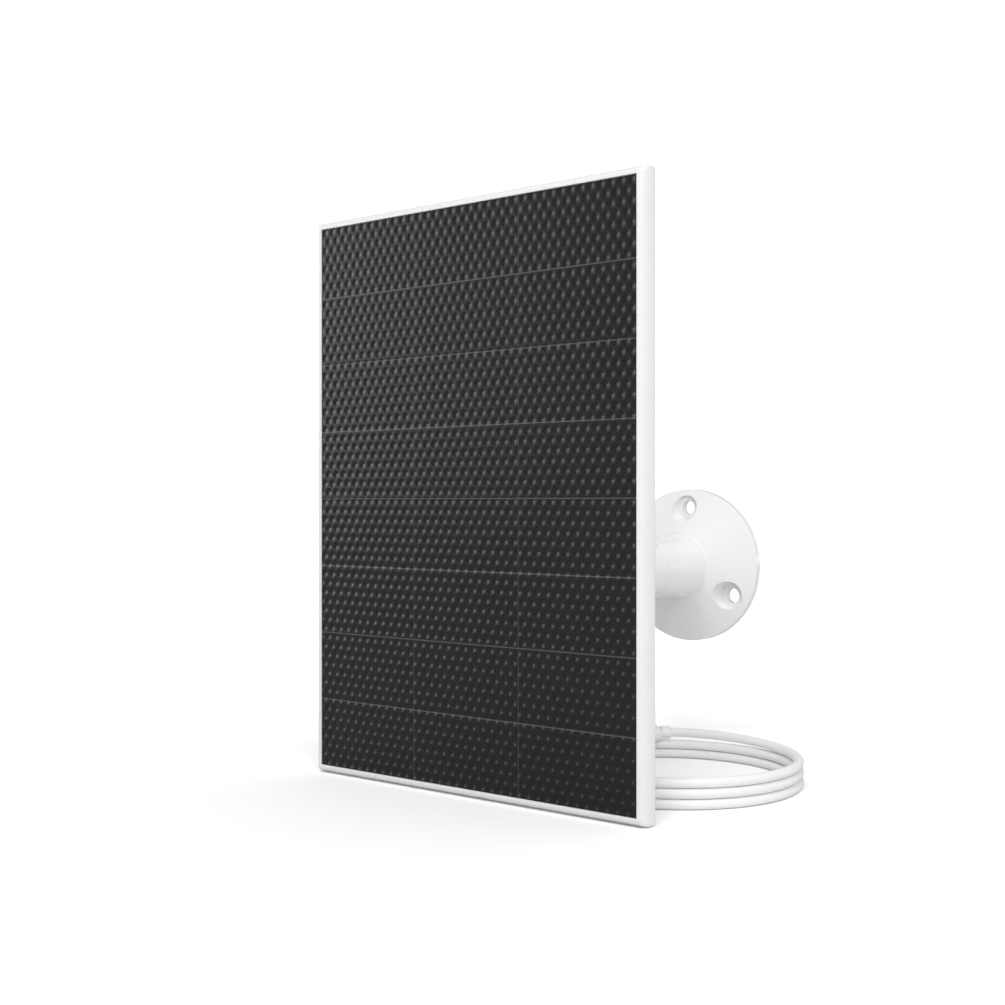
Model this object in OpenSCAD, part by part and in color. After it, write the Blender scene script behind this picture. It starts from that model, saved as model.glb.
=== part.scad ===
// Small solar charging panel on a ball-jointed wall arm, with its coiled charging cable.
// +Z is up, the panel faces -Y and the origin is the centre of the wall plate's back face.

/* [Solar face] */
// Width of the dark solar face
face_w = 126; // [110:1:150]
// Height of the dark solar face
face_h = 180; // [168:1:220]
// Cell columns
columns = 3; // [2:1:4]
// Cell rows
rows = 8; // [4:1:12]
// Gap between neighbouring cells
cell_gap = 0.4; // [0.2:0.1:1]
// Dark margin above the top row of cells
cell_margin = 1.2; // [0:0.1:2]

/* [Panel housing] */
// Distance from the wall to the frame's front lip
panel_reach = 137; // [137:1:150]
// How far the panel's centre sits above the arm
panel_rise = 25.8; // [20:0.2:30]
// Width of the frame's flat front lip
lip_w = 0.5; // [0.3:0.1:0.8]
// How far the rounded frame side stands out from the solar face
frame_out = 2.75; // [2.4:0.05:3.2]
// Depth of the frame, front to back
frame_depth = 7.3; // [7.3:0.1:8.5]
// Thickness of the rear cover
cover_t = 1.2; // [1.2:0.1:1.6]

/* [Wall plate] */
// Radius of the round wall plate
plate_r = 29.1; // [28.5:0.1:34]
// Height of the plate's straight rim
rim_h = 3.4; // [2.8:0.1:4]
// Distance from the wall to the foot of the neck
cone_top = 11; // [10:0.5:12]
// Pitch circle diameter of the wall screws
screw_pcd = 44; // [43:0.5:46]
// Diameter of a wall screw hole
screw_hole_d = 5.4; // [4.5:0.1:5.8]
// Diameter of the recess for a wall screw's head, at its mouth
screw_head_d = 11; // [10:0.5:11.5]
// Diameter of that recess at its floor
screw_seat_d = 8.8; // [8.4:0.1:10]

/* [Arm and ball joint] */
// Radius of the neck where it meets the cone
neck_foot_r = 12.26; // [12:0.1:13]
// Radius of the neck at its seam with the arm
neck_end_r = 10.8; // [10.75:0.05:11.5]
// Distance from the wall to that seam
seam_at = 34.7; // [32:0.1:38]
// Radius of the arm
arm_r = 10.7; // [10.6:0.01:10.75]
// Distance from the wall to the ball's centre
ball_at = 105; // [100:0.5:105]
// Radius of the ball
ball_r = 8; // [7.5:0.1:8]

/* [Cable] */
// Diameter of the cable
cord_d = 3.2; // [2.8:0.1:3.2]
// Radius of the coil to the cable's centre
coil_r = 41.3; // [38:0.1:42]
// Sideways place of the coil's centre
coil_x = 36; // [34:0.5:38]
// Place of the coil's centre in front of the wall, as a Y value
coil_y = -75.7; // [-78:0.1:-75]

/* [Hidden] */
// Smoothness of round parts
$fn = 64;

// Depths in the panel, all measured back from the front lip
film_front = 0.35;
film_back = 0.8;
cells_back = 1;
ribbons_back = 1.1;
board_back = 2.4;
gasket_back = 3;
ledge_back = 4.2;
seal_back = 5;
cover_back = frame_depth + cover_t;
pad_back = 12;
fit_gap = 0.2;
ledge_w = 4;

// Depth at which the frame is widest
widest_back = 5.2;
// Outer section of the frame, from its lip to its back: distance out from the solar face, distance back
frame_section = [
    for (bend = [0:15:90]) [
        lip_w + (frame_out - lip_w) * pow(sin(bend), 0.85),
        -widest_back * (1 - cos(bend))
    ],
    [frame_out - 0.05, -widest_back - 0.25],
    [frame_out - 0.25, -widest_back - 0.7],
    [frame_out - 0.7, -widest_back - 1.4],
    [frame_out - 1.25, -frame_depth]
];
cover_out = 0.8;
cover_corner_r = 2;
cover_screw_in = 4;
face_bottom = panel_rise - face_h / 2;
floor_z = face_bottom - frame_out;

// Ball joint: the liner, its seat and the clamping parts
fit = 0.1;
liner_r = ball_r + 1.4;
seat_r = liner_r + fit;
liner_mouth = 51;
stud_r = 3.2;
stud_tip = 131;
spigot_r = 10.4;
spigot_from = ball_at - 15;
spigot_to = ball_at - 3;
clamp_r = 11.4;
clamp_back = ball_at - 1.9;
clamp_front = ball_at + 6.1;
collar_back = spigot_from - 1.5;
collar_front = clamp_front + 1.4;
collar_r = 13.2;
wheel_back = 120.5;
wheel_r = 7;
tail_from = 20;
tail_r = 8;
tail_hollow_to = 44;

// Solar cells
cell_w = face_w / columns;
cell_h = (face_h - cell_margin) / rows;

// Charge regulator, behind the laminate beside the cable outlet
outlet_x = -46;
outlet_z = floor_z + cord_d / 2 + 17.5;
outlet_tip = 118;
board_x = -41.5;
board_z = outlet_z - 9;
board_w = 28;
board_h = 18;
board_front = 6;
board_t = 0.9;

// The cable's loose stretch, from its outlet to the coil: X, Y and the height above where it lies
lead_route = [
    [-46, -118, 17.5],
    [-46, -112, 17],
    [-46, -106.5, 14.5],
    [-46, -101.5, 9.5],
    [-46, -97, 4],
    [-46, -91, 0.8],
    [-45.5, -84, 0],
    [-42, -76.5, 0],
    [-35.5, -71, 0],
    [-27.5, -69.5, 0],
    [-20, -72, 0],
    [-14, -77, 0],
    [-9.5, -83, 0],
    [-5, -89.5, 0],
    [-0.5, -95.8, 0],
    [3.7, -101.5, 0]
];
lead_sides = 8;
top_turn_from = 214;
lift_from = 416;
top_turn_to = 480;

// Plug, lying on the coil's upper turns
plug_turn = 224;
plug_z = floor_z + 9.05;
plug_collar_l = 4.3;
plug_collar_d = 4.4;
plug_body = [20, 10.4, 5.2];
plug_shell = [6.6, 7.4, 2.6];

// Turns a shape drawn along +Z so that it runs from the wall towards the panel's front.
module from_wall(d = 0) {
    translate([0, -d, 0]) rotate([90, 0, 0]) children();
}

// The same, measured back from the frame's front lip and centred on the solar face.
module on_panel(back = 0) {
    from_wall(panel_reach - back) translate([0, panel_rise, 0]) children();
}

// A plate between two depths of the panel, reaching a given distance past the solar face.
module panel_plate(front, back, out) {
    on_panel(back)
        translate([-face_w / 2 - out, -face_h / 2 - out, 0])
            cube([face_w + 2 * out, face_h + 2 * out, back - front]);
}

// A flat ring between two depths, bounded by two distances past the solar face.
module panel_ring(front, back, out, in) {
    difference() {
        panel_plate(front, back, out);
        panel_plate(front - 1, back + 1, in);
    }
}

// A cylinder between two distances along +Z.
module cylinder_between(from, to, r) {
    translate([0, 0, from]) cylinder(h = to - from, r = r);
}

// A cone between two distances along +Z.
module cone_between(from, to, r_from, r_to) {
    translate([0, 0, from]) cylinder(h = to - from, r1 = r_from, r2 = r_to);
}

// A stretch of tube between two distances from the wall.
module tube(from, to, r_out, r_in) {
    from_wall() difference() {
        cylinder_between(from, to, r_out);
        cylinder_between(from - 1, to + 1, r_in);
    }
}

module at_cover_screws(back) {
    for (sx = [-1, 1], sz = [-1, 0, 1])
        on_panel(back)
            translate([sx * (face_w / 2 - cover_screw_in), sz * (face_h / 2 - cover_screw_in), 0])
                children();
}

module at_wall_screws() {
    for (a = [90, 210, 330])
        rotate([0, 0, a]) translate([screw_pcd / 2, 0, 0]) children();
}

// Round wall plate, its cone and the neck that the arm plugs into.
module wall_base() {
    rim_chamfer = 0.4;
    waist_at = 18;
    waist_r = neck_end_r + 0.5;
    web = 6;
    pocket_r = 9.5;
    core_depth = 2.2;
    seat_at = 3.2;
    mouth_at = 6.4;
    color("white") from_wall() difference() {
        union() {
            cylinder(h = rim_h - rim_chamfer, r = plate_r);
            cone_between(rim_h - rim_chamfer, rim_h, plate_r, plate_r - rim_chamfer);
            cone_between(rim_h, cone_top, plate_r - 2 * rim_chamfer, neck_foot_r);
            cylinder(h = cone_top, r = neck_foot_r);
            cone_between(cone_top, waist_at, neck_foot_r, waist_r);
            cone_between(waist_at, seam_at, waist_r, neck_end_r);
        }
        cylinder_between(tail_from, seam_at + 1, tail_r + fit / 2);
        cylinder_between(-1, tail_from - web, pocket_r);
        cylinder_between(-1, tail_from + 1, 2.2);
        at_wall_screws() {
            cylinder_between(-1, 20, screw_hole_d / 2);
            cone_between(seat_at, mouth_at, screw_seat_d / 2, screw_head_d / 2);
            cylinder_between(mouth_at - 0.01, 20, screw_head_d / 2);
        }
        for (a = [30, 150, 270])
            rotate([0, 0, a - 28]) translate([0, 0, -1])
                rotate_extrude(angle = 56) translate([14, 0]) square([11.5, 1 + core_depth]);
    }
}

// Arm that carries the ball socket, hollow behind the socket.
module extension_arm() {
    color("whitesmoke") from_wall() difference() {
        union() {
            cylinder_between(tail_from + 0.1, seam_at + 0.1, tail_r);
            cylinder_between(seam_at, spigot_from, arm_r);
            cylinder_between(seam_at, spigot_to, spigot_r);
        }
        translate([0, 0, ball_at]) sphere(r = seat_r);
        cylinder_between(tail_hollow_to, ball_at, 6);
        cylinder_between(tail_from - 1, tail_from + 15, 2.05);
    }
}

// Screw that holds the arm's tail in the wall base.
module arm_screw() {
    head_h = 2.6;
    web_back = tail_from - 6;
    color("silver") from_wall() difference() {
        union() {
            cylinder_between(web_back - head_h, web_back, 3.8);
            cylinder_between(web_back, tail_from + 13, 2);
        }
        for (a = [0, 90])
            translate([0, 0, web_back - head_h]) rotate([0, 0, a]) cube([4, 0.9, 2], center = true);
    }
}

// Ring that pulls the liner back onto the arm's seat.
module clamp_ring() {
    mouth_z = 5;
    color("gainsboro") from_wall(ball_at) difference() {
        cylinder_between(clamp_back - ball_at, clamp_front - ball_at, clamp_r);
        sphere(r = seat_r);
        cylinder_between(-4, 0, seat_r);
        translate([0, 0, mouth_z - 0.1]) cylinder(h = 1.3, r1 = 8.2, r2 = 9.2);
    }
}

// Threaded collar that clamps the ball, with grip ribs.
module locking_collar() {
    rib_count = 16;
    lip = 1.3;
    color("white") from_wall() difference() {
        union() {
            cylinder_between(collar_back, collar_front - 1.5, collar_r);
            translate([0, 0, collar_front - 1.5]) cylinder(h = 1.5, r1 = collar_r, r2 = collar_r - 1.2);
            for (i = [0:rib_count - 1])
                rotate([0, 0, i * 360 / rib_count]) translate([collar_r - 0.3, 0, 0])
                    cylinder_between(collar_back + 2, collar_front - 3.5, 0.7);
        }
        cylinder_between(collar_back - 1, spigot_from + 0.2, arm_r + 0.15);
        cylinder_between(spigot_from, spigot_to + 1, spigot_r + fit);
        cylinder_between(spigot_to, collar_front - lip, clamp_r + 0.2);
        cylinder_between(spigot_to, collar_front + 1, 10.2);
    }
}

// Thin plastic shell between the ball and its seat.
module friction_liner() {
    color("dimgray") from_wall(ball_at) difference() {
        sphere(r = liner_r);
        sphere(r = ball_r + fit);
        cylinder(h = 14, r1 = 0, r2 = 14 * tan(liner_mouth));
        cylinder_between(-14, 0, 4.5);
    }
}

// Steel ball with its threaded stud.
module ball_stud() {
    color("silver") from_wall() union() {
        translate([0, 0, ball_at]) sphere(r = ball_r);
        cylinder_between(ball_at, wheel_back, stud_r);
        cylinder_between(wheel_back, stud_tip, stud_r - fit);
    }
}

// Thumb wheel that jams the panel on the stud.
module lock_wheel() {
    notch_count = 18;
    color("white") from_wall() difference() {
        cylinder_between(wheel_back, panel_reach - pad_back - fit_gap, wheel_r);
        cylinder_between(wheel_back - 1, panel_reach, stud_r - fit);
        for (i = [0:notch_count - 1])
            rotate([0, 0, i * 360 / notch_count]) translate([wheel_r + 0.3, 0, 0])
                cylinder_between(wheel_back - 1, panel_reach, 0.7);
    }
}

// A bar with the frame's section on both its sides, as wide as the face plus the frame.
module frame_bar(across, along) {
    half = across / 2;
    near = [for (p = frame_section) [half + p[0], p[1]]];
    far = [for (i = [len(frame_section) - 1:-1:0]) [-half - frame_section[i][0], frame_section[i][1]]];
    rotate([90, 0, 0]) linear_extrude(along + 2 * frame_out, center = true) polygon(concat(near, far));
}

// White frame: a rounded rim round the solar face, a ledge and screw posts behind it.
module front_frame() {
    post_r = 2;
    color("white") difference() {
        union() {
            difference() {
                on_panel() intersection() {
                    frame_bar(face_w, face_h);
                    rotate([0, 0, 90]) frame_bar(face_h, face_w);
                }
                panel_plate(-1, frame_depth + 1, 0);
            }
            panel_ring(gasket_back, ledge_back, 0.4, -ledge_w);
            at_cover_screws(frame_depth)
                cylinder(h = frame_depth - gasket_back, r = post_r);
        }
        at_cover_screws(frame_depth) translate([0, 0, -1]) cylinder(h = 1 + 3.4, r = 0.9);
    }
}

// Clear textured sheet over the cells.
module cover_film() {
    color("black") panel_plate(film_front, film_back, -fit_gap);
}

// The cells, in a grid.
module solar_cells() {
    color("midnightblue") on_panel(cells_back)
        for (i = [0:columns - 1], j = [0:rows - 1])
            translate([-face_w / 2 + i * cell_w, -face_h / 2 + j * cell_h, 0])
                translate([cell_gap / 2, cell_gap / 2, 0])
                    cube([cell_w - cell_gap, cell_h - cell_gap, cells_back - film_back]);
}

// Flat conductors that join the cells of a column.
module cell_ribbons() {
    ribbon_w = 1.5;
    color("silver") on_panel(ribbons_back)
        for (i = [0:columns - 1], side = [-1, 1])
            translate([-face_w / 2 + (i + 0.5) * cell_w + side * cell_w / 4 - ribbon_w / 2, 4 - face_h / 2, 0])
                cube([ribbon_w, face_h - 8, ribbons_back - cells_back]);
}

// Stiff board that carries the cells.
module backing_board() {
    color("slategray") panel_plate(ribbons_back, board_back, -0.3);
}

// Foam tape that bonds the board to the frame's ledge.
module adhesive_gasket() {
    color("black") panel_ring(board_back, gasket_back, -0.3, -ledge_w + fit_gap);
}

// Back of the housing, with its rim, the arm's boss and the board's posts.
module rear_cover() {
    rim_in = 0.1;
    rim_w = 1.6;
    boss_r = 6;
    pad_r = 12;
    boss_front = 3.4;
    color("whitesmoke") difference() {
        union() {
            on_panel(cover_back) {
                translate([-face_w / 2 - cover_out, -face_h / 2 - cover_out + cover_corner_r, 0])
                    cube([face_w + 2 * cover_out, face_h + 2 * (cover_out - cover_corner_r), cover_t]);
                translate([-face_w / 2 - cover_out + cover_corner_r, -face_h / 2 - cover_out, 0])
                    cube([face_w + 2 * (cover_out - cover_corner_r), face_h + 2 * cover_out, cover_t]);
                for (sx = [-1, 1], sz = [-1, 1])
                    translate([
                        sx * (face_w / 2 + cover_out - cover_corner_r),
                        sz * (face_h / 2 + cover_out - cover_corner_r),
                        0
                    ]) cylinder(h = cover_t, r = cover_corner_r);
            }
            panel_ring(seal_back, frame_depth + 0.1, -rim_in, -rim_in - rim_w);
            from_wall(panel_reach - cover_back) cylinder(h = cover_back - boss_front, r = boss_r);
            from_wall(panel_reach - pad_back)
                cylinder(h = pad_back - cover_back + 0.1, r1 = pad_r, r2 = pad_r + 2);
            board_posts();
        }
        from_wall(panel_reach - pad_back - 1) cylinder(h = 8.1, r = 4);
        at_cover_screws(cover_back + 1) cylinder(h = cover_t + 2, r = 0.95);
        at_cover_screws(cover_back) translate([0, 0, -0.001]) cylinder(h = 1, r1 = 2, r2 = 0.95);
        from_wall(panel_reach - cover_back - 1)
            translate([outlet_x, outlet_z, 0]) cylinder(h = cover_t + 2, r = 2.4);
    }
}

module board_posts() {
    for (x = [3, board_w - 3])
        from_wall(panel_reach - frame_depth - 0.1) translate([board_x + x, board_z + board_h / 2, 0])
            cylinder(h = frame_depth + 0.1 - board_front - board_t, r = 1.5);
}

// Soft cord that seals the cover's rim to the frame.
module cover_seal() {
    color("dimgray") panel_ring(ledge_back, seal_back, -0.2, -1.6);
}

// Self-tapping screws that hold the cover.
module cover_screws() {
    color("silver") at_cover_screws(cover_back) difference() {
        union() {
            cylinder(h = 0.95, r1 = 1.9, r2 = 0.85);
            translate([0, 0, 0.9]) cylinder(h = 3, r = 0.85);
        }
        for (a = [0, 90])
            rotate([0, 0, a]) cube([2, 0.5, 0.9], center = true);
    }
}

// Brass thread for the stud, moulded into the cover's boss.
module threaded_insert() {
    color("gold") tube(panel_reach - pad_back, panel_reach - pad_back + 7, 4, stud_r);
}

// Circuit board of the charge regulator.
module regulator_board() {
    color("darkgreen") from_wall(panel_reach - board_front - board_t)
        translate([board_x, board_z, 0]) cube([board_w, board_h, board_t]);
}

// Places a component on the front of the regulator board.
module on_board(x, z) {
    from_wall(panel_reach - board_front) translate([board_x + x, board_z + z, 0]) children();
}

module board_inductor() {
    color("dimgray") on_board(12, 5) cube([6, 6, 2.6]);
}

module board_capacitors() {
    color("darkgray") for (x = [7, 21])
        on_board(x, 3.2) cylinder(h = 2.8, r = 1.9);
}

module board_chip() {
    color("black") on_board(19.5, 9) cube([5, 4, 1.1]);
}

// Wires from the regulator up to the laminate's solder pads.
module laminate_wires() {
    wire_r = 0.5;
    depth = board_front - wire_r;
    color("crimson") for (x = [7, 10])
        from_wall(panel_reach - depth) translate([board_x + x, board_z + board_h - 3, 0]) {
            rotate([-90, 0, 0]) cylinder(h = 18, r = wire_r);
            translate([0, 18, 0]) sphere(r = wire_r);
            translate([0, 18, 0]) cylinder(h = depth - board_back, r = wire_r);
        }
}

// The cable's two cores, from the strain relief to the regulator.
module cable_cores() {
    core_r = 0.5;
    color("firebrick") for (z = [-1, 1])
        from_wall(panel_reach - board_front + core_r) translate([outlet_x, outlet_z + z, 0])
            rotate([0, 90, 0]) cylinder(h = 8, r = core_r);
}

// Rubber sleeve that holds the cable in the cover.
module strain_relief() {
    sleeve_back = panel_reach - cover_back;
    color("whitesmoke") translate([outlet_x, 0, outlet_z]) from_wall() {
        translate([0, 0, outlet_tip]) cylinder(h = sleeve_back - outlet_tip, r1 = 2.3, r2 = 3.4);
        cylinder_between(sleeve_back - 0.1, panel_reach - frame_depth + 0.1, 2.3);
        cylinder_between(panel_reach - frame_depth, panel_reach - board_front - 0.1, 3.6);
    }
}

// Frame vectors for sweeping a round section along points.
function unit(v) = v / norm(v);
function heading(p, i) = unit(p[min(i + 1, len(p) - 1)] - p[max(i - 1, 0)]);
function side_of(h) = unit(cross(h, [-h[1], h[0], 1.5]));
function ring_points(p, i, r, n) =
    let (h = heading(p, i), s = side_of(h), u = cross(h, s))
        [for (k = [0:n - 1]) p[i] + r * (cos(360 * k / n) * s + sin(360 * k / n) * u)];
function sweep_points(p, r, n) = [for (i = [0:len(p) - 1]) each ring_points(p, i, r, n)];
function sweep_faces(m, n) = concat(
    [[for (k = [0:n - 1]) k]],
    [for (i = [0:m - 2], k = [0:n - 1]) [
        i * n + k,
        (i + 1) * n + k,
        (i + 1) * n + (k + 1) % n,
        i * n + (k + 1) % n
    ]],
    [[for (k = [n - 1:-1:0]) (m - 1) * n + k]]
);

// Loose stretch of the cable, from the strain relief to the coil.
module cable_lead() {
    points = [for (q = lead_route) [q[0], q[1], floor_z + cord_d / 2 + q[2]]];
    color("white") polyhedron(
        points = sweep_points(points, cord_d / 2, lead_sides),
        faces = sweep_faces(len(points), lead_sides)
    );
}

// The coil's outer shape: a closed ring of two turns, and a third turn that ends in the plug.
module cable_coil() {
    lap = 0.1;
    color("white") translate([coil_x, coil_y, floor_z]) union() {
        difference() {
            cylinder(h = 2 * cord_d, r = coil_r + cord_d / 2);
            translate([0, 0, -1]) cylinder(h = 2 * cord_d + 2, r = coil_r - cord_d / 2);
        }
        translate([0, 0, 2 * cord_d - lap]) rotate([0, 0, top_turn_from])
            rotate_extrude(angle = top_turn_to - top_turn_from)
                translate([coil_r - cord_d / 2 + lap, 0]) square([cord_d - 2 * lap, cord_d + lap]);
        translate([0, 0, 3 * cord_d - lap]) rotate([0, 0, lift_from])
            rotate_extrude(angle = top_turn_to - lift_from - 1)
                translate([coil_r - cord_d / 2 + 2 * lap, 0]) square([cord_d - 4 * lap, 1 + lap]);
    }
}

// Places a shape drawn along +X on the plug's axis.
module on_plug(along) {
    translate([
        coil_x + coil_r * cos(top_turn_to),
        coil_y + coil_r * sin(top_turn_to),
        plug_z
    ]) rotate([0, 0, plug_turn]) translate([along, 0, 0]) children();
}

// Short stepped collar where the cable enters the plug.
module plug_collar() {
    chamfer = 0.6;
    color("white") on_plug(0.6) rotate([0, 90, 0]) {
        cylinder(h = chamfer, r1 = plug_collar_d / 2 - chamfer, r2 = plug_collar_d / 2);
        translate([0, 0, chamfer - 0.001]) cylinder(h = plug_collar_l - chamfer - 0.6, r = plug_collar_d / 2);
    }
}

// Moulded grip of the plug.
module plug_body() {
    length = plug_body[0];
    width = plug_body[1];
    height = plug_body[2];
    color("white") on_plug(plug_collar_l) union() {
        translate([0, -(width - height) / 2, -height / 2]) cube([length, width - height, height]);
        for (side = [-1, 1])
            translate([0, side * (width - height) / 2, 0]) rotate([0, 90, 0])
                cylinder(h = length, r = height / 2);
    }
}

// Metal shell of the plug.
module plug_shell() {
    wall = 0.3;
    color("silver") on_plug(plug_collar_l + plug_body[0]) difference() {
        translate([0, -plug_shell[1] / 2, -plug_shell[2] / 2]) cube(plug_shell);
        translate([0.5, -plug_shell[1] / 2 + wall, -plug_shell[2] / 2 + wall])
            cube([plug_shell[0], plug_shell[1] - 2 * wall, plug_shell[2] - 2 * wall]);
    }
}

// Plastic tongue that carries the plug's contacts.
module plug_tongue() {
    color("black") on_plug(plug_collar_l + plug_body[0] + 0.5)
        translate([0, -2.6, -0.4]) cube([5.4, 5.2, 0.8]);
}

wall_base();
extension_arm();
arm_screw();
clamp_ring();
locking_collar();
friction_liner();
ball_stud();
lock_wheel();
front_frame();
cover_film();
solar_cells();
cell_ribbons();
backing_board();
adhesive_gasket();
rear_cover();
cover_seal();
cover_screws();
threaded_insert();
regulator_board();
board_inductor();
board_capacitors();
board_chip();
laminate_wires();
cable_cores();
strain_relief();
cable_lead();
cable_coil();
plug_collar();
plug_body();
plug_shell();
plug_tongue();
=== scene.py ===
import math

import bpy
from mathutils import Matrix, Vector


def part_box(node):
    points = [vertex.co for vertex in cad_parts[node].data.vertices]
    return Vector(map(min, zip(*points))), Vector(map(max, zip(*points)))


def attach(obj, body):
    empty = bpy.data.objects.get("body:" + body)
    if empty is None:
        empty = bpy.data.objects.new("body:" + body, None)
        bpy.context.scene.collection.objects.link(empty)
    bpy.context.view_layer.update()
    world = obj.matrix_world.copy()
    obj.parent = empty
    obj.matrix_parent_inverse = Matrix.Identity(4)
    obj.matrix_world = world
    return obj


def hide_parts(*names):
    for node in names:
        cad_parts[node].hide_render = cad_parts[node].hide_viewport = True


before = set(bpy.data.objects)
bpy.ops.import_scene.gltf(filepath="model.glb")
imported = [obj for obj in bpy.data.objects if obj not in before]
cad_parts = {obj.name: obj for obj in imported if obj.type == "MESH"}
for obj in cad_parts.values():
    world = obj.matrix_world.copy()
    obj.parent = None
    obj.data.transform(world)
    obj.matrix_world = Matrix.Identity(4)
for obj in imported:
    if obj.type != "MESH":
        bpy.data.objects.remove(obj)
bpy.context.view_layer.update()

scene = bpy.context.scene

# --- Camera ---
# Level camera in front of the panel's right edge, at the height of the panel's middle.
view_turn = math.radians(38.63)
eye = Vector((0.2688, -0.4542, 0.024))
camera = bpy.data.objects.new("camera", bpy.data.cameras.new("camera"))
scene.collection.objects.link(camera)
camera.location = eye
camera.rotation_euler = (math.pi / 2, 0, view_turn)
camera.data.lens = 48.4
camera.data.clip_start = 0.01
scene.camera = camera

# --- Charging cable ---
# Round two-core cable in a soft white sheath, extruded over the wires. It leaves the cover through a
# sleeve, drops to the floor, makes a bend and is wound into a coil of three turns that ends in the plug.
mm = 0.001
cable_d = 3.2 * mm
floor_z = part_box("cable_coil")[0][2]
lie_z = floor_z + cable_d / 2
coil_low, coil_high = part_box("cable_coil")
coil_x = (coil_low[0] + coil_high[0]) / 2
coil_y = (coil_low[1] + coil_high[1]) / 2
coil_r = (coil_high[0] - coil_low[0]) / 2 - cable_d / 2
lead_route = [
    (-0.046, -0.118, 0.0175),
    (-0.046, -0.112, 0.017),
    (-0.046, -0.1065, 0.0145),
    (-0.046, -0.1015, 0.0095),
    (-0.046, -0.097, 0.004),
    (-0.046, -0.091, 0.0008),
    (-0.0455, -0.084, 0),
    (-0.042, -0.0765, 0),
    (-0.0355, -0.071, 0),
    (-0.0275, -0.0695, 0),
    (-0.02, -0.072, 0),
    (-0.014, -0.077, 0),
    (-0.0095, -0.083, 0),
    (-0.005, -0.0895, 0),
    (-0.0005, -0.0958, 0),
]
coil_start = 218.6
coil_end = 480 + 720
coil_step = 12
climbs = [(520, 54, cable_d), (880, 54, cable_d), (1125, 75, 1.05 * mm)]
plug_turn = math.radians(224)
plug_z = floor_z + 9.05 * mm


def eased(share):
    share = min(max(share, 0), 1)
    return share * share * (3 - 2 * share)


def coil_point(angle):
    lift = sum(rise * eased((angle - start) / span) for start, span, rise in climbs)
    turn = math.radians(angle)
    return Vector((coil_x + coil_r * math.cos(turn), coil_y + coil_r * math.sin(turn), lie_z + lift))


plug_axis = Vector((math.cos(plug_turn), math.sin(plug_turn), 0))
plug_foot = coil_point(coil_end)
plug_foot.z = plug_z
coil_steps = round((coil_end - coil_start) / coil_step)
cable_points = [Vector((x, y, lie_z + height)) for x, y, height in lead_route]
cable_points += [
    coil_point(coil_start + (coil_end - coil_start) * i / coil_steps) for i in range(coil_steps + 1)
]
cable_points += [plug_foot + plug_axis * 2.5 * mm]

cable_curve = bpy.data.curves.new("charging_cable", "CURVE")
cable_curve.dimensions = "3D"
cable_curve.bevel_depth = cable_d / 2
cable_curve.bevel_resolution = 5
cable_curve.resolution_u = 8
cable_curve.use_fill_caps = True
run = cable_curve.splines.new("BEZIER")
run.bezier_points.add(len(cable_points) - 1)
for knot, place in zip(run.bezier_points, cable_points):
    knot.co = place
    knot.handle_left_type = knot.handle_right_type = "AUTO"
charging_cable = bpy.data.objects.new("charging_cable", cable_curve)
scene.collection.objects.link(charging_cable)


class Flow:
    """A value, colour or vector on its way through a material: + - * / on it add the nodes."""

    def __init__(self, tree, socket=None):
        self.tree = tree
        self.socket = socket

    def node(self, kind, values=None, out=0, stops=None, **settings):
        made = self.tree.nodes.new("ShaderNode" + kind)
        for key, value in settings.items():
            setattr(made, key, value)
        if stops:
            ramp = made.color_ramp
            while len(ramp.elements) < len(stops):
                ramp.elements.new(0.5)
            for element, (place, shade) in zip(ramp.elements, stops):
                element.position = place
                element.color = (*shade, 1) if isinstance(shade, tuple) else (shade, shade, shade, 1)
        for key, value in (values or {}).items():
            if isinstance(value, Flow):
                self.tree.links.new(value.socket, made.inputs[key])
            else:
                made.inputs[key].default_value = value
        return Flow(self.tree, made.outputs[out])

    def sum(self, operation, first, second, clamp=False):
        return self.node("Math", {0: first, 1: second}, operation=operation, use_clamp=clamp)

    def __add__(self, other):
        return self.sum("ADD", self, other)

    def __sub__(self, other):
        return self.sum("SUBTRACT", self, other)

    def __rsub__(self, other):
        return self.sum("SUBTRACT", other, self)

    def __mul__(self, other):
        return self.sum("MULTIPLY", self, other)

    def __truediv__(self, other):
        return self.sum("DIVIDE", self, other)

    __radd__ = __add__
    __rmul__ = __mul__

    def above(self, level):
        return self.sum("GREATER_THAN", self, level)

    def blend(self, first, second):
        """A colour between two, where this value is the share of the second."""
        picks = {0: self, 6: first, 7: second}
        return self.node("Mix", picks, out=2, data_type="RGBA")


def colour(level, warmth=0.0):
    return (level, level * (1 - warmth * 0.5), level * (1 - warmth), 1)


def surface(name, roughness, metallic=0.0, specular=0.5, coat=0.0, coat_roughness=0.1):
    """A new material, as (material, its shader node, a Flow to start its patterns, object space)."""
    material = bpy.data.materials.new(name)
    material.use_nodes = True
    shader = material.node_tree.nodes["Principled BSDF"]
    shader.inputs["Roughness"].default_value = roughness
    shader.inputs["Metallic"].default_value = metallic
    shader.inputs["Specular IOR Level"].default_value = specular
    shader.inputs["Coat Weight"].default_value = coat
    shader.inputs["Coat Roughness"].default_value = coat_roughness
    flow = Flow(material.node_tree)
    place = flow.node("TexCoord", out="Object")
    return material, shader, flow, place


def feed(flow, shader, **inputs):
    """Joins patterns to the shader's sockets, named with _ for a space."""
    for key, value in inputs.items():
        flow.tree.links.new(value.socket, shader.inputs[key.replace("_", " ")])


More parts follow.
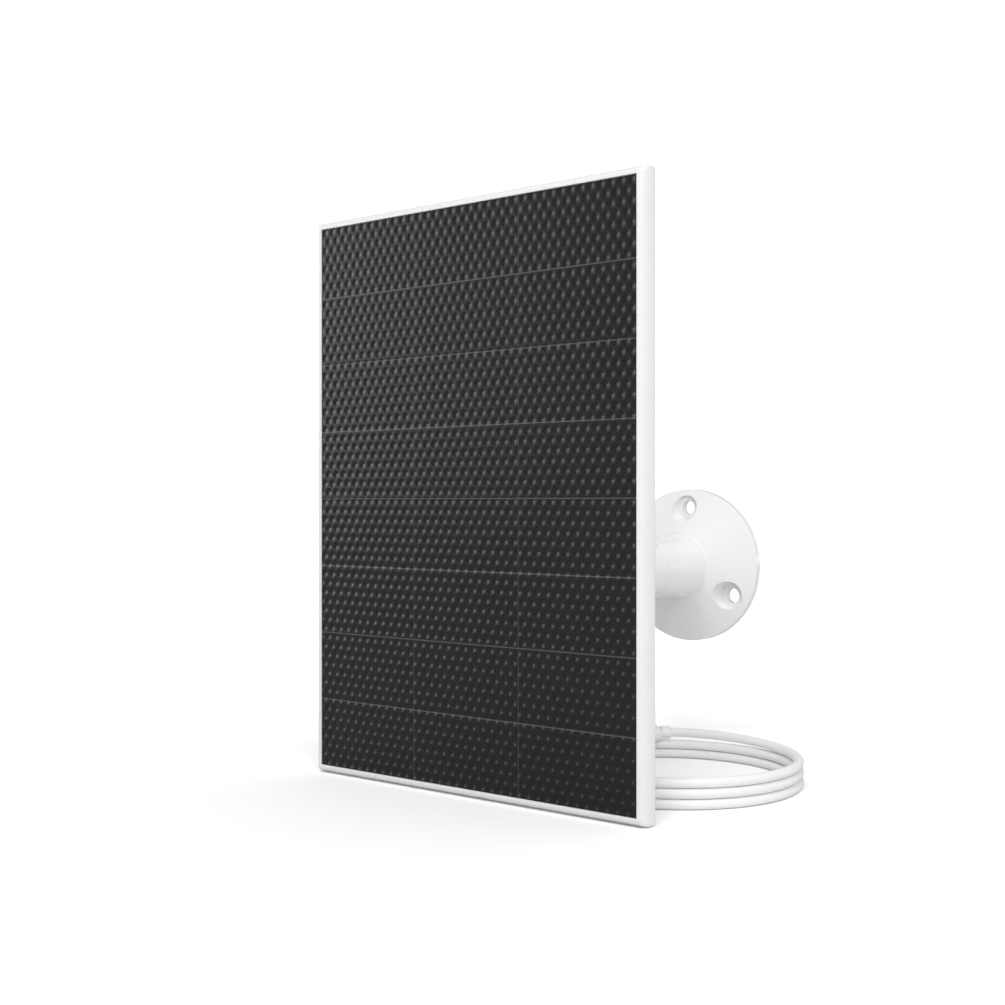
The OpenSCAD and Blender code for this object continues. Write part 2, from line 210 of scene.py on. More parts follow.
def moulded(name, tone, roughness, grain=9000, depth=0.02, warmth=0.012, coat=0.0):
    """Injection-moulded plastic: slow shifts of tone, a fine skin texture and uneven gloss."""
    material, shader, flow, place = surface(name, roughness, coat=coat)
    drift = flow.node("TexNoise", {"Vector": place, "Scale": 28, "Detail": 3, "Roughness": 0.6})
    rubbed = flow.node("TexNoise", {"Vector": place, "Scale": 160, "Detail": 5, "Roughness": 0.7})
    skin = flow.node("TexNoise", {"Vector": place, "Scale": grain, "Detail": 2})
    tint = drift.blend(colour(tone * 0.985, warmth), colour(min(tone * 1.015, 1), warmth * 0.4))
    bump = flow.node("Bump", {"Height": skin, "Strength": depth, "Distance": 0.0002})
    feed(flow, shader, Base_Color=tint, Normal=bump, Roughness=rubbed * 0.04 + (roughness - 0.02))
    return material


cable_sheath = moulded("cable_sheath", 0.83, 0.42, grain=5200, depth=0.05)
charging_cable.data.materials.append(cable_sheath)
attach(charging_cable, "panel")
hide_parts("cable_lead", "cable_coil")

# --- Wall plate and neck ---
# One ABS moulding: a round plate with a cone and a neck, open behind, with pockets between its screw
# bosses. Three recessed holes take the wall screws.


def begin(name):
    """An empty mesh object, active and in edit mode, with everything else deselected."""
    bpy.ops.object.select_all(action="DESELECT")
    bpy.ops.mesh.primitive_plane_add(size=mm)
    piece = bpy.context.object
    piece.name = piece.data.name = name
    bpy.ops.object.mode_set(mode="EDIT")
    return piece


def draw(outline):
    """Shrinks the new plane to a point and extrudes it along an outline of points."""
    bpy.ops.mesh.merge(type="CENTER")
    bpy.ops.transform.translate(value=Vector(outline[0]))
    for start, end in zip(outline, outline[1:]):
        step = Vector(end) - Vector(start)
        bpy.ops.mesh.extrude_region_move(TRANSFORM_OT_translate={"value": step})


def close_up(piece, smooth=35):
    """Merges doubles, turns the faces outwards, leaves edit mode and shades the piece."""
    bpy.ops.mesh.select_all(action="SELECT")
    bpy.ops.mesh.remove_doubles(threshold=mm / 400)
    bpy.ops.mesh.normals_make_consistent(inside=False)
    bpy.ops.object.mode_set(mode="OBJECT")
    bpy.ops.object.shade_smooth_by_angle(angle=math.radians(smooth))
    return piece


def softened(corners, steps=4):
    """An outline of (a, b) points; a third number rounds that corner to its radius."""
    out = []
    count = len(corners)
    for i, corner in enumerate(corners):
        here = Vector(corner[:2])
        if len(corner) < 3:
            out.append(here)
            continue
        before = Vector(corners[i - 1][:2]) - here
        after = Vector(corners[(i + 1) % count][:2]) - here
        half = before.angle(after) / 2
        reach = min(corner[2] / math.tan(half), before.length * 0.49, after.length * 0.49)
        radius = reach * math.tan(half)
        middle = here + (before.normalized() + after.normalized()).normalized() * radius / math.sin(half)
        first = here + before.normalized() * reach - middle
        last = here + after.normalized() * reach - middle
        sweep = first.angle_signed(last)
        for k in range(steps + 1):
            spot = first.copy()
            spot.rotate(Matrix.Rotation(-sweep * k / steps, 2))
            out.append(middle + spot)
    return out


def turned(name, corners, steps=96, centre=(0, 0), closed=True):
    """A turned part: corners of (distance from the wall, radius, rounding) in mm, spun round its axis."""
    x, z = centre
    outline = [Vector((x, -far * mm, z + radius * mm)) for far, radius in softened(corners)]
    if closed:
        outline.append(outline[0])
    piece = begin(name)
    draw(outline)
    bpy.ops.mesh.select_all(action="SELECT")
    bpy.ops.mesh.spin(steps=steps, angle=2 * math.pi, center=(x, 0, z), axis=(0, 1, 0))
    return close_up(piece)


def cut(piece, tool, how="DIFFERENCE"):
    """Applies one solid to another, then deletes the tool."""
    bpy.ops.object.select_all(action="DESELECT")
    bpy.context.view_layer.objects.active = piece
    piece.select_set(True)
    joint = piece.modifiers.new("cut", "BOOLEAN")
    joint.operation = how
    joint.object = tool
    joint.solver = "EXACT"
    bpy.ops.object.modifier_apply(modifier=joint.name)
    bpy.data.objects.remove(tool)


def edge_round(piece, width, segments=3, angle=30):
    """Rounds every edge sharper than the angle."""
    bpy.ops.object.select_all(action="DESELECT")
    bpy.context.view_layer.objects.active = piece
    piece.select_set(True)
    rounding = piece.modifiers.new("rounding", "BEVEL")
    rounding.width = width * mm
    rounding.segments = segments
    rounding.limit_method = "ANGLE"
    rounding.angle_limit = math.radians(angle)
    rounding.use_clamp_overlap = True
    bpy.ops.object.modifier_apply(modifier=rounding.name)
    bpy.ops.object.shade_smooth_by_angle(angle=math.radians(angle + 5))


def fit_on(piece, body, node, material):
    """Gives a finished piece its body and its material, and hides the CAD node it stands for."""
    piece.data.materials.clear()
    piece.data.materials.append(material)
    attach(piece, body)
    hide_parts(node)


plate_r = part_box("wall_base")[1][0] / mm
seam_at = -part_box("wall_base")[0][1] / mm
cone_top = 11
neck_foot_r, neck_end_r = 12.26, 10.8
tube_bore_r = 8.05
screws_at = 22
pocket_in, pocket_out, pocket_deep = 14, 25.5, 2.2
wall_plate = turned(
    "wall_plate",
    [
        (0, tube_bore_r), (0, plate_r, 0.25), (3.4, plate_r, 0.45), (3.7, plate_r - 0.9, 0.2),
        (cone_top, neck_foot_r, 0.6), (18, neck_end_r + 0.5, 40),
        (seam_at, neck_end_r, 0.25), (seam_at, tube_bore_r),
    ],
    steps=144,
)
for turn in (90, 210, 330):
    angle = math.radians(turn)
    at = (screws_at * math.cos(angle) * mm, screws_at * math.sin(angle) * mm)
    recess = [(-1, 0), (-1, 2.7), (3.2, 2.7), (3.2, 4.4), (6.4, 5.5), (20, 5.5), (20, 0)]
    cut(wall_plate, turned("recess", recess, 48, at, False))
cut(wall_plate, turned("back_well", [(-1, 0), (-1, 9.5), (14, 9.5, 0.4), (14, 0)], 64, closed=False))
web = turned("web", [(14, 2.2), (14, 8.4), (20, 8.4), (20, 2.2)], 64)
cut(wall_plate, web, "UNION")
for turn in (30, 150, 270):
    pocket = begin("pocket")
    draw([
        (pocket_in * mm, mm, 0), (pocket_out * mm, mm, 0), (pocket_out * mm, -pocket_deep * mm, 0),
        (pocket_in * mm, -pocket_deep * mm, 0), (pocket_in * mm, mm, 0),
    ])
    bpy.ops.mesh.select_all(action="SELECT")
    bpy.ops.mesh.edge_face_add()
    bpy.ops.mesh.spin(steps=22, angle=math.radians(55), center=(0, 0, 0), axis=(0, 1, 0))
    close_up(pocket)
    pocket.data.transform(Matrix.Rotation(math.radians(28.75 - turn), 4, "Y"))
    cut(wall_plate, pocket)
edge_round(wall_plate, 0.28, angle=38)
mount_plastic = moulded("mount_plastic", 0.82, 0.22, grain=4200, depth=0.008, coat=0.4)
fit_on(wall_plate, "wall_mount", "wall_base", mount_plastic)

# --- Arm ---
# Straight ABS tube that plugs into the neck and carries the ball's seat at its far end.
ball_at = 105
arm_end = 90
spigot_end = 102
arm_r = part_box("extension_arm")[1][0] / mm
extension_arm = turned(
    "arm_tube",
    [
        (20.1, 2.1), (20.1, 8), (seam_at + 0.05, 8), (seam_at + 0.05, arm_r, 0.3), (arm_end, arm_r, 0.3),
        (arm_end, 10.4), (spigot_end, 10.4, 0.2), (spigot_end, 9.1), (99, 7.6), (97, 6), (44, 6), (44, 2.1),
    ],
)
fit_on(extension_arm, "wall_mount", "extension_arm", mount_plastic)

# --- Ball joint ---
# A steel ball on a stud, held in the arm's end by a nylon liner and a clamp ring. The ribbed collar
# screws onto the arm and squeezes them; the wheel on the stud jams the panel.


def settle(piece):
    """Puts an object's place into its mesh."""
    bpy.ops.object.select_all(action="DESELECT")
    bpy.context.view_layer.objects.active = piece
    piece.select_set(True)
    bpy.ops.object.transform_apply(location=True, rotation=True, scale=True)
    return piece


def rod(name, x, z, radius, far_from, far_to, steps=24, tip=None):
    """A straight or tapered rod along the depth, in mm; z is height."""
    bpy.ops.object.select_all(action="DESELECT")
    bpy.ops.mesh.primitive_cone_add(
        vertices=steps, radius1=radius * mm, radius2=(radius if tip is None else tip) * mm,
        depth=(far_to - far_from) * mm, location=(x * mm, -(far_from + far_to) / 2 * mm, z * mm),
        rotation=(math.pi / 2, 0, 0),
    )
    bpy.context.object.name = name
    return settle(bpy.context.object)


def joined(name, parts):
    """Several objects made into one."""
    bpy.ops.object.select_all(action="DESELECT")
    for part in parts:
        part.select_set(True)
    bpy.context.view_layer.objects.active = parts[0]
    bpy.ops.object.join()
    bpy.context.object.name = name
    return bpy.context.object


def rods_round(name, count, spread, radius, far_from, far_to):
    """Rods in a ring round the arm's axis."""
    parts = []
    for k in range(count):
        turn = 2 * math.pi * k / count
        x, z = spread * math.cos(turn), spread * math.sin(turn)
        parts.append(rod(name, x, z, radius, far_from, far_to, steps=12))
    return joined(name, parts)


collar_r = 13.2
grip_collar = turned(
    "grip_collar",
    [
        (88.5, arm_r + 0.15), (88.5, collar_r, 0.4), (111, collar_r, 0.4), (112.5, 12, 0.3),
        (112.5, 10.2, 0.3), (111.2, 10.2), (111.2, 11.6), (102, 11.6), (102, 10.5), (90.2, 10.5),
        (90.2, arm_r + 0.15),
    ],
)
cut(grip_collar, rods_round("grip_ribs", 16, collar_r - 0.3, 0.7, 90.5, 109), "UNION")
edge_round(grip_collar, 0.15, angle=40)
fit_on(grip_collar, "collar", "locking_collar", mount_plastic)

jam_wheel = turned("jam_wheel", [(120.5, 3.1), (120.5, 7, 0.5), (124.8, 7, 0.5), (124.8, 3.1)], 72)
cut(jam_wheel, rods_round("finger_notches", 18, 7.3, 0.7, 119, 126))
edge_round(jam_wheel, 0.12, angle=40)
fit_on(jam_wheel, "head", "lock_wheel", mount_plastic)


def finish_node(node, material):
    """Gives a node that keeps its own shape a material."""
    mesh = bpy.data.objects[node].data
    mesh.materials.clear()
    mesh.materials.append(material)


def metal(name, shade, roughness, streak=0.06):
    """Bare or plated metal: drawn lines, faint stains and a slightly uneven polish."""
    material, shader, flow, place = surface(name, roughness, metallic=1)
    drawn = flow.node("Mapping", {"Vector": place, "Scale": (1, 0.06, 1)})
    lines = flow.node("TexNoise", {"Vector": drawn, "Scale": 2600, "Detail": 4, "Roughness": 0.7})
    stain = flow.node("TexNoise", {"Vector": place, "Scale": 240, "Detail": 4})
    darker = tuple(level * 0.86 for level in shade)
    tint = stain.blend((*darker, 1), (*shade, 1))
    bump = flow.node("Bump", {"Height": lines, "Strength": streak, "Distance": 0.0001})
    feed(flow, shader, Base_Color=tint, Normal=bump, Roughness=lines * 0.16 + (roughness - 0.08))
    return material


bright_steel = metal("bright_steel", (0.62, 0.61, 0.60), 0.24)
nylon_grey = moulded("nylon_grey", 0.23, 0.42, grain=7000, depth=0.04)
clamp_grey = moulded("clamp_grey", 0.55, 0.36)
finish_node("ball_stud", bright_steel)
finish_node("arm_screw", bright_steel)
finish_node("friction_liner", nylon_grey)
finish_node("clamp_ring", clamp_grey)

# --- Panel frame ---
# White ABS rim moulded in one piece: a rounded front edge, sides that draw in towards the back, and
# inside it a ledge for the laminate and six posts for the cover's screws.
reach = 137
face_w, face_h = 126, 180
face_mid_z = 25.8
frame_out, frame_depth = 2.75, 7.3


def panel_box(name, front, back, out):
    """A plate in the panel between two depths, reaching past the solar face on every side."""
    bpy.ops.object.select_all(action="DESELECT")
    bpy.ops.mesh.primitive_cube_add(
        size=1, location=(0, ((front + back) / 2 - reach) * mm, face_mid_z * mm),
        scale=((face_w + 2 * out) * mm, (back - front) * mm, (face_h + 2 * out) * mm),
    )
    bpy.context.object.name = name
    return settle(bpy.context.object)


def panel_ring(name, front, back, out, inner):
    ring = panel_box(name, front, back, out)
    cut(ring, panel_box("opening", front - 1, back + 1, inner))
    return ring


def rim_section():
    """The frame's section as (distance out from the solar face, distance back)."""
    section = [(0, frame_depth), (0, 0.12), (0.04, 0.04), (0.12, 0)]
    lip, widest = 0.45, 5.2
    for step in range(13):
        bend = math.radians(90 * step / 12)
        out = lip + (frame_out - lip) * math.sin(bend) ** 0.85
        section.append((out, widest * (1 - math.cos(bend))))
    return section + [(2.71, 5.45), (2.6, 5.72), (2.45, 5.98), (2.05, 6.6), (1.5, frame_depth)]


def frame_run(name, section):
    """Carries a section round the solar face: drawn at one corner, then mirrored along to the next."""
    half_w, half_h = face_w / 2 * mm, face_h / 2 * mm
    middle = Vector((0, 0, face_mid_z * mm))
    piece = begin(name)
    outline = [
        (half_w + out * mm, (back - reach) * mm, middle.z - half_h - out * mm) for out, back in section
    ]
    draw(outline + outline[:1])
    bpy.ops.mesh.select_all(action="SELECT")
    for flip in ((1, 1, -1), (-1, 1, 1), (1, 1, -1), (-1, 1, 1)):
        bpy.ops.mesh.extrude_region()
        bpy.ops.transform.resize(value=flip, center_override=middle)
    return close_up(piece, smooth=32)


def round_mitres(piece, width):
    """Rounds the four corners that the frame's straight runs meet in."""
    mesh = piece.data
    marks = mesh.attributes.new("bevel_weight_edge", "FLOAT", "EDGE")
    for edge in mesh.edges:
        near, far = [mesh.vertices[i].co for i in edge.vertices]
        mitre = near.x * far.x > 0 and (near.z - face_mid_z * mm) * (far.z - face_mid_z * mm) > 0
        outside = min(abs(near.x), abs(far.x)) > (face_w / 2 + 0.6) * mm
        marks.data[edge.index].value = float(mitre and outside)
    rounding = piece.modifiers.new("rounding", "BEVEL")
    rounding.limit_method = "WEIGHT"
    rounding.width = width * mm
    rounding.segments = 5
    bpy.ops.object.modifier_apply(modifier=rounding.name)
    bpy.ops.object.shade_smooth_by_angle(angle=math.radians(32))


def at_cover_screws():
    """The (x, z) places of the cover's six screws, in mm."""
    across, up = face_w / 2 - 4, face_h / 2 - 4
    return [(sx * across, face_mid_z + sz * up) for sx in (-1, 1) for sz in (-1, 0, 1)]


panel_frame = frame_run("panel_frame", rim_section())
round_mitres(panel_frame, 0.9)
cut(panel_frame, panel_ring("ledge", 3, 4.2, 0.4, -4), "UNION")
for x, z in at_cover_screws():
    cut(panel_frame, rod("post", x, z, 2, reach - frame_depth, reach - 3.5), "UNION")
    cut(panel_frame, rod("screw_pilot", x, z, 0.9, reach - frame_depth - 1, reach - frame_depth + 3.4, 16))
frame_plastic = moulded("frame_plastic", 0.76, 0.32, grain=5200, depth=0.008)
fit_on(panel_frame, "panel", "front_frame", frame_plastic)

# --- Textured film ---
# Clear PET pressed into a close pattern of round dimples, laminated over the black cells, which show
# through it with fine paler lines where they meet.
film_in = 0.2
film_front, film_back = 0.35, 0.8
dimple_pitch, dimple_row = 3.5, 3.0
dimple_first = 1.4
dimple_r, dimple_deep = 1.5, 0.13
columns, rows = 3, 8
cell_margin = 1.2
cell_high = (face_h - cell_margin) / rows


def dimple_depth(across, down):
    """Depth of the film's dimple pattern at a distance from the face's left and top edges."""
    near = math.floor((down - dimple_first) / dimple_row)
    for row in (near, near + 1):
        shift = dimple_pitch / 2 if row % 2 == 0 else 0
        side = (across - shift) / dimple_pitch
        aside = (side - round(side)) * dimple_pitch
        away = (aside ** 2 + (down - dimple_first - row * dimple_row) ** 2) / dimple_r ** 2
        if away < 1:
            return dimple_deep * (1 - away) ** 2
    return 0


bpy.ops.object.select_all(action="DESELECT")
bpy.ops.mesh.primitive_grid_add(
    x_subdivisions=251, y_subdivisions=359, size=1,
    location=(0, (film_front - reach) * mm, face_mid_z * mm), rotation=(math.pi / 2, 0, 0),
)
textured_film = bpy.context.object
textured_film.name = "textured_film"
textured_film.scale = ((face_w - 2 * film_in) * mm, (face_h - 2 * film_in) * mm, 1)
settle(textured_film)
bpy.ops.object.mode_set(mode="EDIT")
bpy.ops.mesh.select_all(action="SELECT")
bpy.ops.mesh.region_to_loop()
bpy.ops.mesh.extrude_edges_move(TRANSFORM_OT_translate={"value": (0, (film_back - film_front) * mm, 0)})
bpy.ops.mesh.edge_face_add()
close_up(textured_film, smooth=60)
margin = 0.5
for corner in textured_film.data.vertices:
    if corner.co.y < (film_front + 0.1 - reach) * mm:
        across = corner.co.x / mm + face_w / 2
        down = face_mid_z + face_h / 2 - corner.co.z / mm
        edge = min(across, face_w - across, down, face_h - down) - film_in
        corner.co.y += dimple_depth(across, down) * eased(edge / margin) * mm


def cell_film():
    """Black cells under the pressed film, with thin paler lines between them."""
    material, shader, flow, place = surface("cell_film", 0.3)
    across = flow.node("SeparateXYZ", {0: place}, out=0) / mm + face_w / 2
    down = (face_mid_z + face_h / 2) - flow.node("SeparateXYZ", {0: place}, out=2) / mm
    lines = []
    for span, cell in ((across, face_w / columns), (down - cell_margin, cell_high)):
        wave = flow.node("Math", {0: span / cell + 0.5}, operation="FRACT")
        off_line = flow.node("Math", {0: wave - 0.5}, operation="ABSOLUTE") * cell
        lines.append(flow.node("MapRange", {0: off_line, 1: 0.05, 2: 0.28, 3: 1, 4: 0}))
    lines[1] = lines[1] * down.above(3)
    row = flow.node("Math", {0: (down - dimple_first) / dimple_row + 0.5}, operation="FLOOR")
    odd = flow.node("Math", {0: row, 1: 2}, operation="FLOORED_MODULO")
    below = (down - dimple_first) - row * dimple_row
    part = flow.node("Math", {0: across / dimple_pitch + odd * 0.5}, operation="FRACT")
    aside = (part - 0.5) * dimple_pitch
    away = (aside * aside + below * below) / dimple_r ** 2
    dome = flow.sum("MAXIMUM", 1 - away, 0)
    drift = flow.node("TexNoise", {"Vector": place, "Scale": 18, "Detail": 3})
    tint = drift.blend((0.0045, 0.0047, 0.0055, 1), (0.0065, 0.0067, 0.0078, 1))
    tint = lines[0].blend(tint, (0.036, 0.037, 0.04, 1))
    tint = lines[1].blend(tint, (0.075, 0.076, 0.08, 1))
    grain = flow.node("TexNoise", {"Vector": place, "Scale": 3500, "Detail": 3})
    skin = flow.node("Bump", {"Height": grain, "Strength": 0.02, "Distance": 0.0001})
    relief = {"Height": dome * dome * -1, "Strength": 1.0, "Distance": dimple_deep * mm, "Normal": skin}
    feed(flow, shader, Base_Color=tint, Normal=flow.node("Bump", relief), Roughness=drift * 0.06 + 0.2)
    return material


fit_on(textured_film, "panel", "cover_film", cell_film())

# --- Cells and their board ---
# Monocrystalline cells strung with flat tinned ribbons on a stiff glass-fibre board. Black foam tape
# bonds the board to the frame's ledge.


def silicon():
    """Blue-black cell face with fine silver grid fingers."""
    material, shader, flow, place = surface("cell_silicon", 0.25, specular=0.4, coat=0.3)
    z = flow.node("SeparateXYZ", {0: place}, out=2)
    wave = flow.node("Math", {0: z / (1.5 * mm)}, operation="FRACT")
    finger = wave.above(0.94)
    haze = flow.node("TexNoise", {"Vector": place, "Scale": 60, "Detail": 4})
    tint = haze.blend((0.006, 0.009, 0.022, 1), (0.011, 0.016, 0.036, 1))
    feed(flow, shader, Base_Color=finger.blend(tint, (0.4, 0.4, 0.4, 1)), Roughness=haze * 0.2 + 0.15)
    return material


def woven_board(name, dark, light):
    """Glass-fibre laminate: the weave shows through the resin."""
    material, shader, flow, place = surface(name, 0.45)
    weave = flow.node("TexWave", {"Vector": place, "Scale": 320, "Distortion": 0.6, "Detail": 2})
    cross = flow.node("TexWave", {"Vector": place, "Scale": 320, "Distortion": 0.6}, bands_direction="Z")
    threads = weave * cross
    bump = flow.node("Bump", {"Height": threads, "Strength": 0.2, "Distance": 0.0001})
    feed(flow, shader, Base_Color=threads.blend(dark, light), Normal=bump, Roughness=threads * 0.15 + 0.35)
    return material


def foam(name, tone):
    """Closed-cell foam: small pores on a dull surface, each pore darkened with painted shade."""
    material, shader, flow, place = surface(name, 0.85, specular=0.2)
    pores = flow.node("TexVoronoi", {"Vector": place, "Scale": 2200})
    bump = flow.node("Bump", {"Height": pores, "Strength": 0.5, "Distance": 0.0002})
    # Painted shade: the colour darkens towards the middle of each pore, where the surface dips.
    tint = pores.blend(colour(tone * 0.6), colour(tone))
    feed(flow, shader, Base_Color=tint, Normal=bump, Roughness=pores * 0.1 + 0.8)
    return material


tinned = metal("tinned_ribbon", (0.58, 0.59, 0.60), 0.32)
finish_node("solar_cells", silicon())
finish_node("cell_ribbons", tinned)
finish_node("backing_board", woven_board("backing_laminate", (0.16, 0.17, 0.18, 1), (0.26, 0.27, 0.28, 1)))
finish_node("adhesive_gasket", foam("tape_foam", 0.03))

# --- Charge regulator ---
# A small circuit board on two posts of the cover, with an inductor, two capacitors and a chip. Red
# wires come down from the laminate and the cable's cores join beside the outlet.
solder_mask = woven_board("solder_mask", (0.010, 0.085, 0.032, 1), (0.016, 0.12, 0.045, 1))
finish_node("regulator_board", solder_mask)
finish_node("board_inductor", moulded("ferrite", 0.05, 0.6, grain=9000, depth=0.2))
finish_node("board_capacitors", metal("can_aluminium", (0.70, 0.71, 0.72), 0.35))
finish_node("board_chip", moulded("chip_epoxy", 0.02, 0.5, grain=9000, depth=0.1))
wire_red = moulded("wire_red", 0.3, 0.4)
wire_red.node_tree.nodes["Mix"].inputs[6].default_value = (0.42, 0.012, 0.010, 1)
wire_red.node_tree.nodes["Mix"].inputs[7].default_value = (0.55, 0.020, 0.016, 1)
finish_node("laminate_wires", wire_red)
finish_node("cable_cores", wire_red)

# --- Rear cover ---
# White ABS lid with rounded corners, a rim that presses the seal, the boss for the stud's brass thread
# and a raised pad round it. Six countersunk screws hold it.
cover_back = 8.5
cover_out = 0.8
pad_back = 12


def prism(name, outline, front, back):
    """A solid with an (x, z) outline in mm, between two depths of the panel."""
    piece = begin(name)
    points = [Vector((x * mm, (front - reach) * mm, z * mm)) for x, z in outline]
    draw(points + points[:1])
    bpy.ops.mesh.select_all(action="SELECT")
    bpy.ops.mesh.remove_doubles(threshold=mm / 400)
    bpy.ops.mesh.edge_face_add()
    bpy.ops.mesh.extrude_region_move(TRANSFORM_OT_translate={"value": (0, (back - front) * mm, 0)})
    return close_up(piece)


def rounded_box(half_w, half_h, mid_z, radius):
    signs = ((1, -1), (1, 1), (-1, 1), (-1, -1))
    return softened([(sx * half_w, mid_z + sz * half_h, radius) for sx, sz in signs], steps=8)


lid_outline = rounded_box(face_w / 2 + cover_out, face_h / 2 + cover_out, face_mid_z, 2)
rear_cover = prism("rear_lid", lid_outline, frame_depth, cover_back)
edge_round(rear_cover, 0.3, angle=50)
cut(rear_cover, panel_ring("lid_rim", 5, frame_depth + 0.2, -0.1, -1.7), "UNION")
cut(rear_cover, rod("stud_boss", 0, 0, 6, reach - cover_back, reach - 3.4, 48), "UNION")
pad = [(125, 0), (125, 12, 0.4), (128.5, 14, 0.01), (128.7, 14), (128.7, 0)]
cut(rear_cover, turned("stud_pad", pad, 96, closed=False), "UNION")
outlet_x, outlet_z = -46, floor_z / mm + 1.6 + 17.5
outlet_pad = [(128.1, 0), (128.1, 5.4, 0.3), (128.7, 5.8), (128.7, 0)]
cut(rear_cover, turned("outlet_pad", outlet_pad, 48, (outlet_x * mm, outlet_z * mm), False), "UNION")
for x in (-38.5, -16.5):
    cut(rear_cover, rod("board_post", x, outlet_z, 1.5, reach - frame_depth - 0.1, reach - 6.9), "UNION")
cut(rear_cover, rod("thread_bore", 0, 0, 4, reach - pad_back - 1, reach - 4.9, 48))
cut(rear_cover, rod("outlet_bore", outlet_x, outlet_z, 2.4, 127, 131, 32))
for x, z in at_cover_screws():
    cut(rear_cover, rod("screw_hole", x, z, 0.95, 127, 131, 24))
    sink_from = reach - cover_back
    cut(rear_cover, rod("countersink", x, z, 2, sink_from - 0.001, sink_from + 1, 24, tip=0.95))
fit_on(rear_cover, "panel", "rear_cover", moulded("cover_plastic", 0.8, 0.38, 2600, 0.12))
finish_node("cover_screws", bright_steel)
finish_node("cover_seal", moulded("seal_rubber", 0.12, 0.6, grain=5000, depth=0.08))
finish_node("threaded_insert", metal("brass", (0.62, 0.44, 0.18), 0.3))

# --- Cable sleeve ---
# Soft moulded sleeve that keeps the cable from kinking where it leaves the cover; grooves let it bend.
# A flange inside the cover holds it.
sleeve = [(118, 0), (118, 2.25, 0.3)]
for groove in range(4):
    start = 119.4 + groove * 2
    thick = 2.3 + 1.1 * (start - 118) / 10.5
    sleeve += [(start, thick, 0.15), (start + 0.2, thick - 0.4, 0.1), (start + 0.9, thick - 0.4, 0.1)]
    sleeve += [(start + 1.1, thick + 0.11, 0.15)]
sleeve += [(128, 3.4, 0.2), (128.1, 2.3), (129.8, 2.3), (129.8, 3.6), (130.9, 3.6), (130.9, 0)]
cable_sleeve = turned("cable_sleeve", sleeve, 48, (outlet_x * mm, outlet_z * mm), False)
fit_on(cable_sleeve, "panel", "strain_relief", cable_sheath)

# --- Plug ---
# Flat moulded grip over the cable's end with a short stepped collar, ribs for the fingers and a folded
# steel shell round the contact tongue.
on_plug = Matrix.Translation(plug_foot) @ Matrix.Rotation(plug_turn, 4, "Z")
along_plug = on_plug @ Matrix.Rotation(math.pi / 2, 4, "Z")
plug_plastic = moulded("plug_plastic", 0.82, 0.34, grain=4200, depth=0.04)

plug_step = [(0.6, 0), (0.6, 1.62), (1.15, 2.2, 0.2), (4.4, 2.2), (4.4, 0)]
plug_collar = turned("plug_step", plug_step, 48, closed=False)
plug_collar.data.transform(along_plug)
fit_on(plug_collar, "panel", "plug_collar", plug_plastic)


def plug_box(name, start, length, width, height, radius):
    """A bar along the plug with rounded long edges."""
    bpy.ops.object.select_all(action="DESELECT")
    bpy.ops.mesh.primitive_cube_add(size=1, location=((start + length / 2) * mm, 0, 0))
    bar = bpy.context.object
    bar.name = name
    bar.scale = (length * mm, width * mm, height * mm)
    settle(bar)
    if radius:
        bpy.ops.object.mode_set(mode="EDIT")
        bpy.ops.mesh.select_all(action="DESELECT")
        bpy.ops.object.mode_set(mode="OBJECT")
        for edge in bar.data.edges:
            ends = [bar.data.vertices[i].co for i in edge.vertices]
            edge.select = abs(ends[0].x - ends[1].x) > length * mm / 2
        bpy.ops.object.mode_set(mode="EDIT")
        bpy.ops.mesh.bevel(offset=radius * mm, segments=10)
        bpy.ops.object.mode_set(mode="OBJECT")
    return bar


grip_l, grip_w, grip_h = 20, 10.4, 5.2
plug_grip = plug_box("plug_grip", 4.3, grip_l, grip_w, grip_h, 2.55)
edge_round(plug_grip, 0.7, segments=4, angle=50)
for rib in range(4):
    for side in (-1, 1):
        groove = plug_box("groove", 8 + rib * 2.2, 1, 6, 1, 0.3)
        groove.data.transform(Matrix.Translation((0, 0, side * (grip_h / 2 + 0.15) * mm)))
        cut(plug_grip, groove)
edge_round(plug_grip, 0.1, segments=2, angle=45)
plug_grip.data.transform(on_plug)
fit_on(plug_grip, "panel", "plug_body", plug_plastic)

shell_w, shell_h, shell_l = 7.4, 2.6, 6.6
plug_shell = plug_box("steel_shell", 24.3, shell_l, shell_w, shell_h, 0.5)
cut(plug_shell, plug_box("mouth", 24.8, shell_l, shell_w - 0.6, shell_h - 0.6, 0.25))
for side in (-1, 1):
    latch = plug_box("latch", 27, 1.4, 0.9, 8, 0)
    latch.data.transform(Matrix.Translation((0, side * 1.9 * mm, 0)))
    cut(plug_shell, latch)
bpy.ops.object.shade_smooth_by_angle(angle=math.radians(35))
plug_shell.data.transform(on_plug)
fit_on(plug_shell, "panel", "plug_shell", bright_steel)
finish_node("plug_tongue", moulded("tongue_black", 0.03, 0.45))
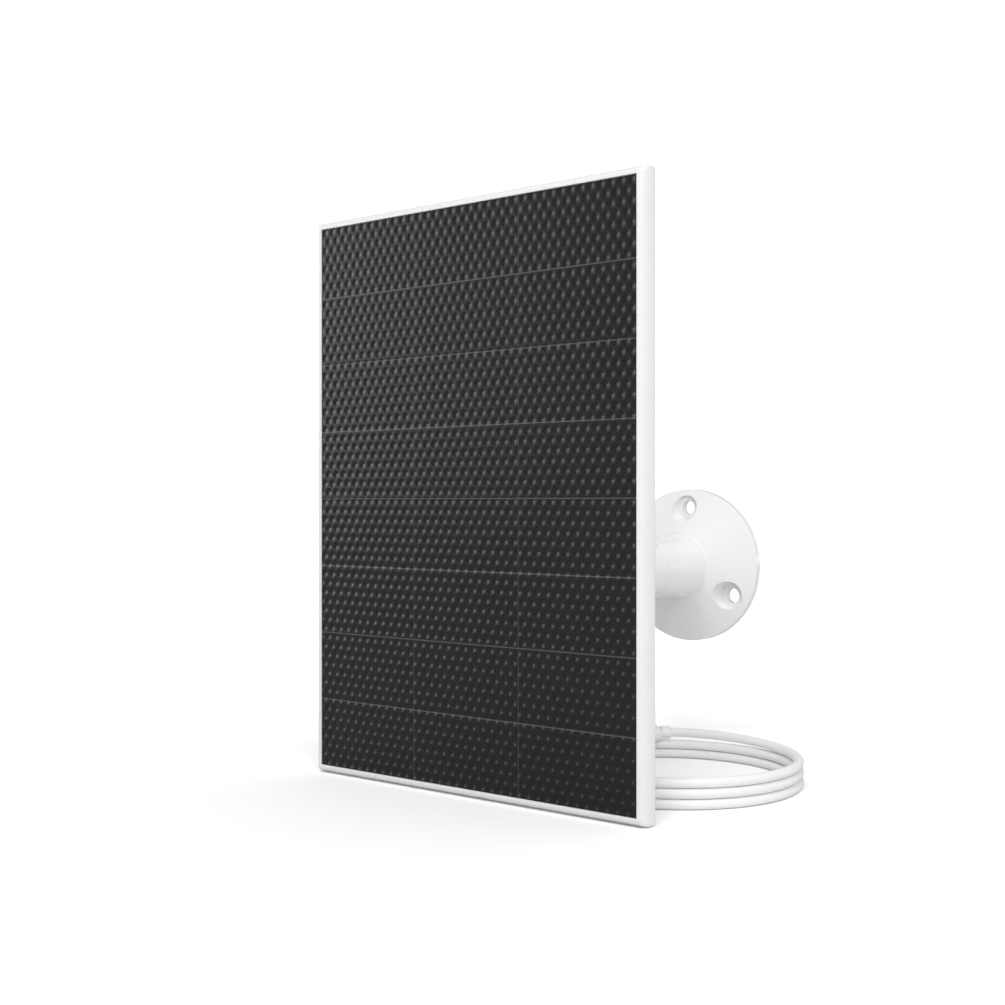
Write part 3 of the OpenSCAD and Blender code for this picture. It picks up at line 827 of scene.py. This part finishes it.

# --- Floor and light ---
# Plain white floor, painted grey where it is seen in reflections so that the film mirrors it darker, under
# an even dome that mirrors brighter low on the left, which shows in the film's dimples. Soft boxes light
# the front from above and the right side, and a strip behind glints on the neck.
bpy.ops.object.select_all(action="DESELECT")
bpy.ops.mesh.primitive_plane_add(size=6, location=(0, 0, floor_z - 0.02 * mm))
floor = bpy.context.object
floor.name = "floor"
floor_paint, floor_shader, floor_flow, floor_place = surface("floor_paint", 0.9, specular=0.1)
# Painted reflection: in glossy rays the floor is grey instead of white, which darkens it where the film
# mirrors it.
in_gloss = floor_flow.node("LightPath", out=3)
faint = floor_flow.node("TexNoise", {"Vector": floor_place, "Scale": 3})
white = faint.blend(colour(0.92), colour(0.93))
feed(floor_flow, floor_shader, Base_Color=in_gloss.blend(white, colour(0.4)))
floor_shader.inputs["Emission Color"].default_value = (1, 1, 1, 1)
offset = floor_flow.node("VectorMath", {0: floor_place, 1: (0, 0.11, 0)}, operation="ADD")
far = floor_flow.node("VectorMath", {0: offset}, out=1, operation="LENGTH")
glow = floor_flow.node("MapRange", {0: far, 1: 0.1, 2: 0.35, 3: 0.12, 4: 1})
glow = glow * floor_flow.node("LightPath", out=0)
floor_flow.tree.links.new(glow.socket, floor_shader.inputs["Emission Strength"])
floor.data.materials.append(floor_paint)


def soft_light(name, place, aim, width, height, radiance):
    """A rectangular area light of even brightness at a place, turned towards a point."""
    lamp = bpy.data.lights.new(name, "AREA")
    lamp.shape = "RECTANGLE"
    lamp.size, lamp.size_y = width, height
    lamp.energy = radiance * math.pi * width * height
    light = bpy.data.objects.new(name, lamp)
    scene.collection.objects.link(light)
    light.location = place
    light.rotation_euler = (Vector(place) - Vector(aim)).to_track_quat("Z", "Y").to_euler()
    light.visible_camera = False


soft_light("front_high", (0.3, -0.9, 1.3), (0, -0.137, 0.03), 0.5, 0.5, 10.5)
soft_light("right_high", (0.95, -0.85, 0.75), (0, -0.02, 0), 0.5, 0.5, 7)
soft_light("back_strip", (0.75, 1.25, 0.08), (0, 0, 0), 0.9, 0.12, 1.3)

scene.world = bpy.data.worlds.new("studio")
scene.world.use_nodes = True
room = Flow(scene.world.node_tree)
bearing, rise = math.radians(68), math.radians(4)
level = math.cos(rise)
bright = Vector((-math.sin(bearing) * level, -math.cos(bearing) * level, math.sin(rise)))
facing = room.node("VectorMath", {0: room.node("TexCoord"), 1: bright}, out=1, operation="DOT_PRODUCT")
lobe = room.node("MapRange", {0: facing, 1: 0.82, 2: 1, 3: 0, 4: 1})
seen = room.node("LightPath", out=0)
mirrored = room.node("LightPath", out=3)
strength = seen * 0.6 + 0.63 + mirrored * (lobe * (lobe * 1.2 + 1) - 0.24)
background = scene.world.node_tree.nodes["Background"]
room.tree.links.new(strength.socket, background.inputs["Strength"])
background.inputs["Color"].default_value = (1, 1, 1, 1)
scene.view_settings.view_transform = "Standard"
